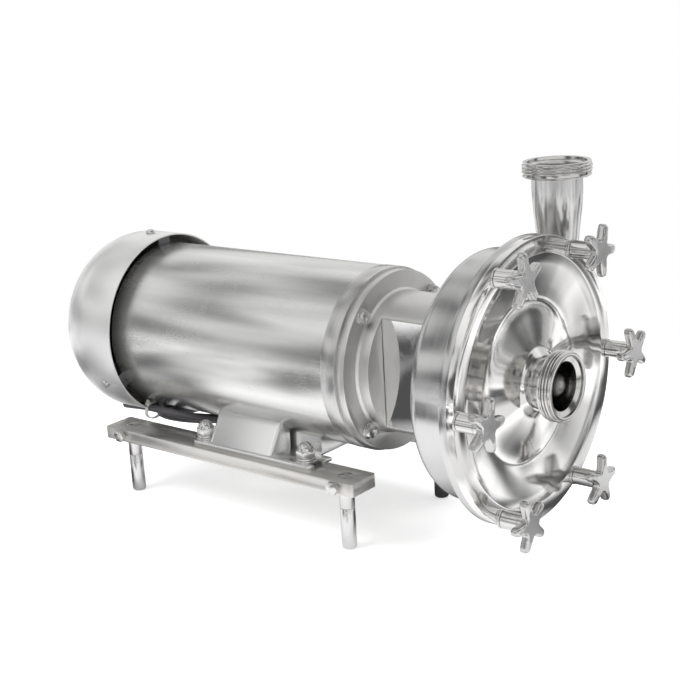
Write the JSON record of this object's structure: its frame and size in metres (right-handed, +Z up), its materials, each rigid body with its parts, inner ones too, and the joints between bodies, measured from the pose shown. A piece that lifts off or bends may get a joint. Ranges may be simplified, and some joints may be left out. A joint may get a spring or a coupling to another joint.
{
  "type": "sanitary centrifugal pump",
  "caption": "Sanitary centrifugal pump: star-knobbed cover with threaded inlet, upright outlet, lantern bracket, washdown motor with domed cowl, rails on level feet.",
  "frame": {"origin": "on the floor, under the middle of the whole pump", "axes": "+X along the shaft towards the inlet, +Z up along the outlet, +Y to the far side"},
  "size_m": [0.6504, 0.3166, 0.382],
  "materials": {
    "satin_steel": "satin",
    "thread_steel": "machined",
    "polished_steel": "mirror polished",
    "white_gasket": "smooth",
    "bright_fasteners": "polished",
    "wetted_casting": "satin cast",
    "turned_shaft": "turned",
    "carbon_ring": "matte",
    "ceramic_ring": "smooth",
    "blasted_casting": "bead blasted",
    "mirror_guard": "mirror polished",
    "brushed_shell": "satin brushed",
    "machined_ring": "machined",
    "inner_casting": "cast",
    "winding_pack": "varnished",
    "rotor_laminations": "ground",
    "bearing_steel": "ground",
    "fan_plastic": "matte",
    "cowl_steel": "pale satin",
    "foot_sheet": "satin",
    "brushed_bar": "brushed",
    "polished_leg": "polished",
    "gland_brass": "nickel plated",
    "cable_sheath": "matte",
    "tie_nylon": "smooth",
    "cast_knob": "satin cast with turned hub"
  },
  "bodies": {
    "frame": {"casing": "satin_steel", "outlet_neck": "satin_steel", "outlet_ferrule": "thread_steel", "cover": "polished_steel", "inlet_ferrule": "thread_steel", "cover_gasket": "white_gasket", "cover_studs": "bright_fasteners", "seal_stationary_ring": "ceramic_ring", "lantern_bracket": "blasted_casting", "guard_plates": "mirror_guard", "bracket_bolts": "bright_fasteners", "motor_body": "brushed_shell", "front_end_bell": "machined_ring", "rear_end_bell": "inner_casting", "stator": "winding_pack", "front_bearing_outer": "bearing_steel", "rear_bearing_outer": "bearing_steel", "fan_cowl": "cowl_steel", "cowl_screws": "bright_fasteners", "motor_foot_near": "foot_sheet", "motor_foot_far": "foot_sheet", "foot_fasteners": "bright_fasteners", "rail_near": "brushed_bar", "rail_far": "brushed_bar", "leg_studs": "polished_leg", "leg_set_bolts": "bright_fasteners", "terminal_box": "foot_sheet", "terminal_cover": "foot_sheet", "cable_gland": "gland_brass", "cable_lead": "cable_sheath", "cable_coil": "cable_sheath", "cable_tie": "tie_nylon"},
    "shaft": {"pump_shaft": "turned_shaft", "motor_shaft": "turned_shaft", "rotor_core": "rotor_laminations", "impeller": "wetted_casting", "impeller_nut": "bright_fasteners", "seal_rotating_ring": "carbon_ring", "seal_spring": "turned_shaft", "front_bearing_inner": "bearing_steel", "rear_bearing_inner": "bearing_steel", "cooling_fan": "fan_plastic"},
    "front_bearing_cage": {"front_bearing_balls": "bearing_steel"},
    "rear_bearing_cage": {"rear_bearing_balls": "bearing_steel"},
    "washer_1": {"knob_washer_1": "bright_fasteners"},
    "star_knob_1": {"knob_1": "cast_knob"},
    "washer_2": {"knob_washer_2": "bright_fasteners"},
    "star_knob_2": {"knob_2": "cast_knob"},
    "washer_3": {"knob_washer_3": "bright_fasteners"},
    "star_knob_3": {"knob_3": "cast_knob"},
    "washer_4": {"knob_washer_4": "bright_fasteners"},
    "star_knob_4": {"knob_4": "cast_knob"},
    "washer_5": {"knob_washer_5": "bright_fasteners"},
    "star_knob_5": {"knob_5": "cast_knob"},
    "washer_6": {"knob_washer_6": "bright_fasteners"},
    "star_knob_6": {"knob_6": "cast_knob"},
    "foot_1": {"level_foot_1": "polished_leg"},
    "foot_2": {"level_foot_2": "polished_leg"},
    "foot_3": {"level_foot_3": "polished_leg"},
    "foot_4": {"level_foot_4": "polished_leg"}
  },
  "joints": [
    {"name": "shaft_spin", "type": "hinge", "parent": "frame", "child": "shaft", "pos_m": [0.19075, 0, 0.184], "axis": [1, 0, 0], "continuous": true},
    {"name": "front_cage_spin", "type": "hinge", "parent": "frame", "child": "front_bearing_cage", "pos_m": [0.10075, 0, 0.184], "axis": [1, 0, 0], "continuous": true},
    {"name": "rear_cage_spin", "type": "hinge", "parent": "frame", "child": "rear_bearing_cage", "pos_m": [-0.19625, 0, 0.184], "axis": [1, 0, 0], "continuous": true},
    {"name": "knob_1_travel", "type": "slide", "parent": "frame", "child": "washer_1", "axis": [1, 0, 0], "range_m": [0, 0.018]},
    {"name": "knob_1_turn", "type": "hinge", "parent": "washer_1", "child": "star_knob_1", "pos_m": [0.29275, 0.06815, 0.30204], "axis": [1, 0, 0], "range_deg": [0, 4320]},
    {"name": "knob_2_travel", "type": "slide", "parent": "frame", "child": "washer_2", "axis": [1, 0, 0], "range_m": [0, 0.018]},
    {"name": "knob_2_turn", "type": "hinge", "parent": "washer_2", "child": "star_knob_2", "pos_m": [0.29275, -0.06815, 0.30204], "axis": [1, 0, 0], "range_deg": [0, 4320]},
    {"name": "knob_3_travel", "type": "slide", "parent": "frame", "child": "washer_3", "axis": [1, 0, 0], "range_m": [0, 0.018]},
    {"name": "knob_3_turn", "type": "hinge", "parent": "washer_3", "child": "star_knob_3", "pos_m": [0.29275, -0.1363, 0.184], "axis": [1, 0, 0], "range_deg": [0, 4320]},
    {"name": "knob_4_travel", "type": "slide", "parent": "frame", "child": "washer_4", "axis": [1, 0, 0], "range_m": [0, 0.018]},
    {"name": "knob_4_turn", "type": "hinge", "parent": "washer_4", "child": "star_knob_4", "pos_m": [0.29275, -0.06815, 0.06596], "axis": [1, 0, 0], "range_deg": [0, 4320]},
    {"name": "knob_5_travel", "type": "slide", "parent": "frame", "child": "washer_5", "axis": [1, 0, 0], "range_m": [0, 0.018]},
    {"name": "knob_5_turn", "type": "hinge", "parent": "washer_5", "child": "star_knob_5", "pos_m": [0.29275, 0.06815, 0.06596], "axis": [1, 0, 0], "range_deg": [0, 4320]},
    {"name": "knob_6_travel", "type": "slide", "parent": "frame", "child": "washer_6", "axis": [1, 0, 0], "range_m": [0, 0.018]},
    {"name": "knob_6_turn", "type": "hinge", "parent": "washer_6", "child": "star_knob_6", "pos_m": [0.29275, 0.1363, 0.184], "axis": [1, 0, 0], "range_deg": [0, 4320]},
    {"name": "level_foot_1_screw", "type": "slide", "parent": "frame", "child": "foot_1", "axis": [0, 0, -1], "range_m": [0, 0.025]},
    {"name": "level_foot_2_screw", "type": "slide", "parent": "frame", "child": "foot_2", "axis": [0, 0, -1], "range_m": [0, 0.025]},
    {"name": "level_foot_3_screw", "type": "slide", "parent": "frame", "child": "foot_3", "axis": [0, 0, -1], "range_m": [0, 0.025]},
    {"name": "level_foot_4_screw", "type": "slide", "parent": "frame", "child": "foot_4", "axis": [0, 0, -1], "range_m": [0, 0.025]}
  ],
  "couplings": [
    {"joint": "front_cage_spin", "follows": "shaft_spin", "ratio": 0.4},
    {"joint": "rear_cage_spin", "follows": "shaft_spin", "ratio": 0.4},
    {"joint": "knob_1_travel", "follows": "knob_1_turn", "m_per_rad": 0.00023873},
    {"joint": "knob_2_travel", "follows": "knob_2_turn", "m_per_rad": 0.00023873},
    {"joint": "knob_3_travel", "follows": "knob_3_turn", "m_per_rad": 0.00023873},
    {"joint": "knob_4_travel", "follows": "knob_4_turn", "m_per_rad": 0.00023873},
    {"joint": "knob_5_travel", "follows": "knob_5_turn", "m_per_rad": 0.00023873},
    {"joint": "knob_6_travel", "follows": "knob_6_turn", "m_per_rad": 0.00023873}
  ]
}
